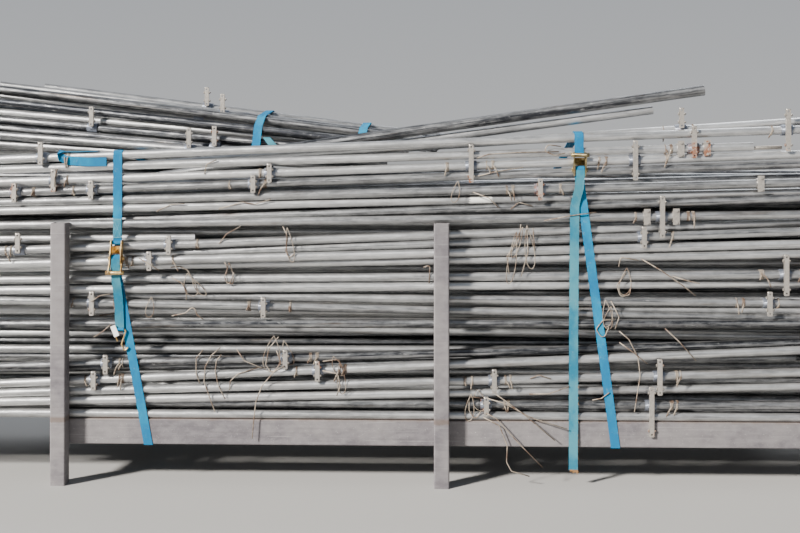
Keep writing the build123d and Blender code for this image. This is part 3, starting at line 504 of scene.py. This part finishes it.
def swept(line, radius, sides=6):
    """A round strand along a line: circles turned across it, drawn in at both ends.

    Each circle lies across the line at its point: p + r * (cos a * u + sin a * v), where u is
    the last circle's u less its part along the line. The first u lies across a direction that
    no strand begins along.
    """
    drawn_in, askew = 0.4, (0.31, 0.17, 0.93)
    line = np.asarray(line, dtype=float)
    reach = np.full(len(line), radius)
    reach[[0, -1]] = radius * drawn_in
    ahead = np.gradient(line, axis=0)
    ahead /= np.linalg.norm(ahead, axis=1)[:, None]
    u = [np.cross(ahead[0], askew)]
    for direction in ahead:
        u.append(u[-1] - direction * (u[-1] @ direction))
    u = np.array(u[1:])
    u /= np.linalg.norm(u, axis=1)[:, None]
    v = np.cross(ahead, u)
    turn = np.arange(sides) * 2 * np.pi / sides
    circles = np.cos(turn)[:, None] * u[:, None] + np.sin(turn)[:, None] * v[:, None]
    return closed_run(line[:, None] + reach[:, None, None] * circles)


def axis_at(tube, x):
    """Point of a tube's axis at x."""
    start, end = tube[:2]
    return start + (end - start) * (x - start[0]) / (end[0] - start[0])


def front_of(node):
    """Function that gives the front of a CAD node at x and z, or None where there is none."""
    before_rack = -0.7
    piece = bpy.data.objects[node + "_shown"]
    tree = BVHTree.FromPolygons([v.co for v in piece.data.vertices],
                                [p.vertices for p in piece.data.polygons])

    def place(x, z):
        hit = tree.ray_cast(Vector((x, before_rack, z)), Vector((0, 1, 0)))[0]
        return None if hit is None else np.array(hit)

    return place


tubes_in = {}
for node in sorted(frame["nodes"]):
    if slot_of[node] == "galvanised_tube":
        tubes_in[node] = [straight_tube(points) for points in solid_parts(node)]
        tones = (-0.3, 0.7) if node == "fan_tubes" else (0, 1)
        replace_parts(tube_mesh(node + "_shown", tubes_in[node], tones), node)
    else:
        smooth_copy(node)


# Small things on the tubes and straps

def wire_loop(tube, x, turns, tail, start_angle):
    """Wire wound round a tube, its two ends twisted together into a short hanging tail.

    The winding is a helix about the tube's axis. With t from 0 to 1 along the tail, its middle
    leaves the tube's front at (tail * lean * t, -bulge * sin(pi t), -tail * t ** 1.5), and its
    two ends turn round that middle.
    """
    pitch, points_per_turn, tail_points = 0.0042, 26, 18
    twist_radius, twist_angle, bulge, clear = 0.0019, 15, 0.006, 0.002
    reach = tube[2] + wire_radius
    angle = np.linspace(start_angle, start_angle + 2 * np.pi * turns,
                        int(points_per_turn * turns))
    along = np.linspace(0, pitch * turns, len(angle))
    wound = axis_at(tube, x) + np.column_stack([along, np.cos(angle) * reach,
                                                np.sin(angle) * reach])
    t = np.linspace(0, 1, tail_points)
    lean = dice.uniform(-0.6, 0.6)
    root = axis_at(tube, x + along[-1] / 2) + np.array([0, -reach - clear, 0.0])
    shells = [swept(wound, wire_radius)]
    for phase in (0, np.pi):
        spin = t * twist_angle + phase
        out = np.column_stack([t * tail * lean + twist_radius * np.cos(spin),
                               -bulge * np.sin(t * np.pi) + twist_radius * np.sin(spin),
                               -tail * t ** 1.5])
        shells.append(swept(root + out, wire_radius))
    return shells


def wire_loops():
    """Loops of tie wire on the front tubes, in ones and twos beside the brackets.

    A ring whose middle is off every front tube's axis sits on another tube and is passed over.
    """
    off_axis, bare_share = 0.02, 0.3
    shells = []
    for ring in solid_parts("bracket_rings"):
        middle = ring.mean(axis=0)
        gaps = [np.linalg.norm(axis_at(tube, middle[0])[1:] - middle[1:])
                for tube in tubes_in["front_tubes"]]
        if min(gaps) > off_axis:
            continue
        tube = tubes_in["front_tubes"][np.argmin(gaps)]
        for side in (-1, 1):
            if dice.uniform() < bare_share:
                continue
            x = middle[0] + side * dice.uniform(0.035, 0.12)
            for _ in range(dice.integers(1, 3)):
                shells += wire_loop(tube, x, dice.uniform(1.2, 3.2), dice.uniform(0.015, 0.05),
                                    dice.uniform(0, 6))
                x += side * dice.uniform(0.01, 0.03)
    add_piece("wire_loops", mesh_of("wire_loops", shells), "wire_steel")


def wire_eyes():
    """Tie wires that hang on the front tubes, each opened into a drop-shaped eye.

    With t from 0 to 1 along the wire and s = sin(pi t) squared, the eye lies at
    x + lean * s + swing * width * sin(2 pi t) * sin(pi t) and top - length * s, before the
    frontmost tube there, and stands off from it by up to a quarter of the bulge.
    """
    points, stride, swing, bulge = 44, 3, 0.7, 0.012
    # x, top, length, width and lean
    eyes = [(-0.607, 1.005, 0.135, 0.026, 0.020), (-0.839, 0.866, 0.085, 0.024, 0.008),
            (0.725, 0.850, 0.105, 0.042, -0.012), (0.293, 0.992, 0.205, 0.030, -0.030),
            (0.334, 1.016, 0.170, 0.034, 0.018), (0.318, 1.010, 0.120, 0.022, -0.040),
            (-0.659, 0.580, 0.140, 0.062, -0.014), (-0.622, 0.560, 0.095, 0.034, 0.030),
            (-0.399, 0.478, 0.125, 0.030, 0.010), (-0.425, 0.500, 0.075, 0.040, 0.034),
            (0.116, 0.356, 0.105, 0.032, -0.010), (0.140, 0.372, 0.085, 0.046, 0.016),
            (0.065, 1.190, 0.085, 0.028, -0.016), (0.640, 0.726, 0.115, 0.034, 0.012),
            (0.662, 0.700, 0.080, 0.030, -0.020), (-1.003, 0.824, 0.090, 0.048, 0.022),
            (-0.985, 0.806, 0.070, 0.030, 0.050), (-1.145, 0.730, 0.080, 0.030, -0.010)]
    front = front_of("front_tubes")
    t = np.linspace(0, 1, points)
    s = np.sin(np.pi * t) ** 2
    shells = []
    for middle, top, length, width, lean in eyes:
        x = middle + lean * s + swing * width * np.sin(2 * np.pi * t) * np.sin(np.pi * t)
        z = top - length * s
        hits = [front(*spot) for spot in zip(x[::stride], z[::stride])]
        y = min(hit[1] for hit in hits if hit is not None) - 1.5 * wire_radius
        shells.append(swept(np.column_stack([x, y - bulge * s * (1 - s), z]), wire_radius))
    add_piece("wire_eyes", mesh_of("wire_eyes", shells), "wire_steel")


def painted_patch():
    """White paint on the front of one tube: a patch of the tube's own surface, just clear of it.

    It lies at axis(x) + (0, r cos a, r sin a). Its two ends wander by 4 mm * sin(11 a)
    + 2 mm * sin(29 a), so that the patch is ragged.
    """
    middle, height, length, clear = 0.155, 1.10, 0.085, 0.0004
    upper, lower, rows, columns = np.pi * 0.72, np.pi * 1.30, 22, 12
    tube = min(tubes_in["front_tubes"], key=lambda t: abs(axis_at(t, middle)[2] - height))
    angle, share = np.meshgrid(np.linspace(upper, lower, rows), np.linspace(0, 1, columns),
                               indexing="ij")
    ragged = 0.004 * np.sin(angle * 11) + 0.002 * np.sin(angle * 29)
    x = middle + length * (share - 0.5) + ragged * (1 - 2 * share)
    layers = []
    for reach in (tube[2] + clear, tube[2] - clear):
        round_axis = np.stack([x * 0, np.cos(angle) * reach, np.sin(angle) * reach], axis=-1)
        layers.append(axis_at(tube, x[..., None]) + round_axis)
    sections = np.concatenate([layers[0], layers[1][:, ::-1]], axis=1)
    mesh = mesh_of("white_patch", [closed_run(sections)], 60)
    add_piece("white_patch", mesh, "galvanised_tube", whitewash)


def ratchet_wheels():
    """A toothed wheel at each side of both spindles.

    The edge is r(a) = root + rise * the part of (teeth * a / 2 pi) after the point, which gives
    saw teeth. It is carried from one face of the wheel to the other, and in to the spindle.
    """
    teeth, steps, root, rise, thickness = 11, 66, 0.0110, 0.0038, 0.003
    beside, bore = 0.0229, 0.007
    turn = np.arange(steps) * 2 * np.pi / steps
    edge = root + rise * ((turn * teeth / (2 * np.pi)) % 1)
    hub = np.full(steps, bore)
    for word in ("left", "right"):
        low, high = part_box(f"{word}_ratchet_spindle")
        centre = (np.array(low) + np.array(high)) / 2
        shells = []
        for side in (-1, 1):
            inner, outer = side * beside, side * (beside + thickness)
            rings = [np.column_stack([np.full(steps, x), np.cos(turn) * reach,
                                      np.sin(turn) * reach])
                     for x, reach in ((inner, hub), (inner, edge), (outer, edge), (outer, hub))]
            shells.append((np.vstack(rings) + centre, grid_faces(4, steps, ends_meet=True)))
        name = f"{word}_ratchet_wheels"
        add_piece(name, mesh_of(name, shells, 30), "yellow_zinc")


def sewn_sleeve():
    """Doubled webbing above the left ratchet's pin, sewn down round its edge and crosswise.

    Its front swells by ripple * sin(160 (top - z)) on the way down.
    """
    middle, half, top, bottom = -1.280, 0.0168, 1.040, 0.962
    clear, thickness, ripple = 0.0003, 0.0022, 0.0008
    front = front_of("left_strap")
    rows = []
    for z in np.linspace(top, bottom, 14):
        surface = front(middle, z)[1]
        swell = ripple * math.sin((top - z) * 160) + thickness
        rows.append([(middle - half, surface - clear, z), (middle - half, surface - swell, z),
                     (middle + half, surface - swell, z), (middle + half, surface - clear, z)])
    mesh = mesh_of("sewn_sleeve", [closed_run(rows)], 40)
    add_piece("sewn_sleeve", mesh, "webbing", bleached_webbing)

    inset, lie, spacing, half_stitch = 0.003, 0.0026, 0.0048, 0.0017
    left, right, upper, lower = -half + inset, half - inset, top - inset, bottom + inset
    corners = [(left, upper), (right, upper), (right, lower), (left, lower),
               (left, upper), (right, lower), (right, upper), (left, lower)]
    stitches = []
    for (x0, z0), (x1, z1) in zip(corners, corners[1:]):
        run = math.hypot(x1 - x0, z1 - z0)
        count = int(run / spacing)
        step = np.array([x1 - x0, 0, z1 - z0]) / run * half_stitch
        for share in (np.arange(count) + 0.5) / count:
            x, z = x0 + (x1 - x0) * share, z0 + (z1 - z0) * share
            place = np.array([middle + x, front(middle, z)[1] - lie, z])
            stitches.append(swept([place - step, place, place + step], thread_radius, 4))
    add_piece("sewn_stitches", mesh_of("sewn_stitches", stitches), "webbing", thread)


def frayed_tail():
    """Loose threads at the lower end and along the right edge of the right tail.

    Those at the end hang from it, bowed aside by bow * sin(pi t), and get longer to the right.
    """
    left, width, surface, overlap, bow = 0.4965, 0.033, -0.4485, 0.003, 0.002
    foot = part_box("right_tail")[0][2] + overlap
    t = np.linspace(0, 1, 5)[:, None]
    threads = []
    for share in np.linspace(0, 1, 46):
        x = left + width * share + dice.uniform(-0.001, 0.001)
        drop = dice.uniform(0.002, 0.016) * (0.4 + share)
        drift = dice.uniform(-0.006, 0.006)
        line = np.array([x, surface, foot]) + t * (drift, -0.002, -drop)
        threads.append(swept(line + np.sin(t * np.pi) * (bow, 0, 0), thread_radius, 4))

    # The tail's edge leans, so low down only the second place is on it.
    edges, short_radius = (0.531, 0.530), 0.0005
    front = front_of("right_tail")
    t = np.linspace(0, 1, 4)[:, None]
    for z in dice.uniform(0.085, 0.40, 26):
        hits = [hit for hit in (front(x, z) for x in edges) if hit is not None]
        if not hits:
            continue
        out = (dice.uniform(0.001, 0.006), -0.001, dice.uniform(-0.012, 0.002))
        threads.append(swept(hits[0] + t * out, short_radius, 4))
    add_piece("frayed_threads", mesh_of("frayed_threads", threads), "webbing", frayed)


def strap_flap():
    """Bleached webbing that hangs from the rear strap's front over the tubes.

    With t from 0 to 1 on the way down, its middle runs along a line, before the frontmost tube
    by clear + lift * sin(pi t), and its width turns by half a radian * t.
    """
    top, foot = np.array([-0.728, 1.362]), np.array([-0.680, 1.305])
    clear, lift, half_width, through = 0.007, 0.010, 0.015, np.array([0, 0.0008, 0])
    front = front_of("fan_tubes")
    steps = np.linspace(0, 1, 15)
    hits = [front(*(top + (foot - top) * t)) for t in steps]
    frontmost = min(hit[1] for hit in hits if hit is not None)
    rows = []
    for t in steps:
        x, z = top + (foot - top) * t
        middle = np.array([x, frontmost - clear - lift * math.sin(math.pi * t), z])
        turn = 0.5 * t
        half = half_width * np.array([math.cos(turn), -0.3 * math.sin(turn), math.sin(turn)])
        rows.append([middle - half - through, middle + half - through,
                     middle + half + through, middle - half + through])
    mesh = mesh_of("strap_flap", [closed_run(rows)], 50)
    add_piece("strap_flap", mesh, "webbing", bleached_webbing)


wire_loops()
wire_eyes()
painted_patch()
strap_flap()
ratchet_wheels()
sewn_sleeve()
frayed_tail()


# Stage, light and camera

def floor():
    """A pale round floor under the rack."""
    radius, corners = 40, 96
    turn = np.linspace(0, 2 * np.pi, corners + 1)[:-1]
    points = np.column_stack([radius * np.cos(turn), radius * np.sin(turn), np.zeros(corners)])
    mesh = bpy.data.meshes.new("floor")
    mesh.from_pydata(points.tolist(), [], [list(range(corners))])
    finish = Finish("pale_floor", roughness=0.85)
    finish.set("Base Color", (0.31, 0.302, 0.29, 1))
    mesh.materials.append(finish.material)
    ground = bpy.data.objects.new("floor", mesh)
    bpy.context.collection.objects.link(ground)


def lights():
    """A soft key light from the front left, a broad weak one from behind, and a pale world."""
    # name, energy, width in degrees, colour and direction
    lamps = [("key", 13.5, 7.0, (1.0, 0.965, 0.91), (0.66, 0.56, -0.50)),
             ("fill", 2.2, 45.0, (0.93, 0.96, 1.0), (-0.40, -0.62, -0.68))]
    for name, energy, angle, colour, toward in lamps:
        lamp = bpy.data.lights.new(name, "SUN")
        lamp.energy = energy
        lamp.angle = math.radians(angle)
        lamp.color = colour
        placed = bpy.data.objects.new(name, lamp)
        placed.rotation_mode = "QUATERNION"
        placed.rotation_quaternion = Vector(toward).to_track_quat("-Z", "Y")
        bpy.context.collection.objects.link(placed)
    world = bpy.data.worlds.new("studio")
    sky = Nodes(world)
    height = sky.split(sky.node("ShaderNodeTexCoord", output="Generated"), "Z") * 0.5 + 0.5
    tint = sky.node("ShaderNodeValToRGB", {"stops": [
        (0.46, (0.20, 0.195, 0.19, 1)), (0.50, (0.90, 0.91, 0.92, 1)),
        (0.72, (0.46, 0.53, 0.64, 1))]}, {0: height})
    sky.feed(sky.tree.nodes["Background"].inputs["Color"], tint)
    sky.feed(sky.tree.nodes["Background"].inputs["Strength"], 0.60)
    bpy.context.scene.world = world


def camera():
    """The photograph's place and angle: 5.2 m back and 1.3 m up, turned a little left.

    It looks almost level, as the posts are upright in the photograph, and is shifted down.
    """
    data = bpy.data.cameras.new("camera")
    data.lens = 54.0
    data.sensor_width = 36.0
    data.shift_y = -0.1675
    data.clip_end = 200
    eye, yaw, tilt = (-0.028, -5.154, 1.342), math.radians(1.64), math.radians(0.46)
    ahead = Vector((-math.sin(yaw) * math.cos(tilt), math.cos(yaw) * math.cos(tilt),
                    math.sin(tilt)))
    right = Vector((math.cos(yaw), math.sin(yaw), 0))
    turned = Matrix((right, right.cross(ahead), -ahead)).transposed()
    seen = bpy.data.objects.new("camera", data)
    seen.matrix_world = Matrix.Translation(eye) @ turned.to_4x4()
    bpy.context.collection.objects.link(seen)
    bpy.context.scene.camera = seen


floor()
lights()
camera()
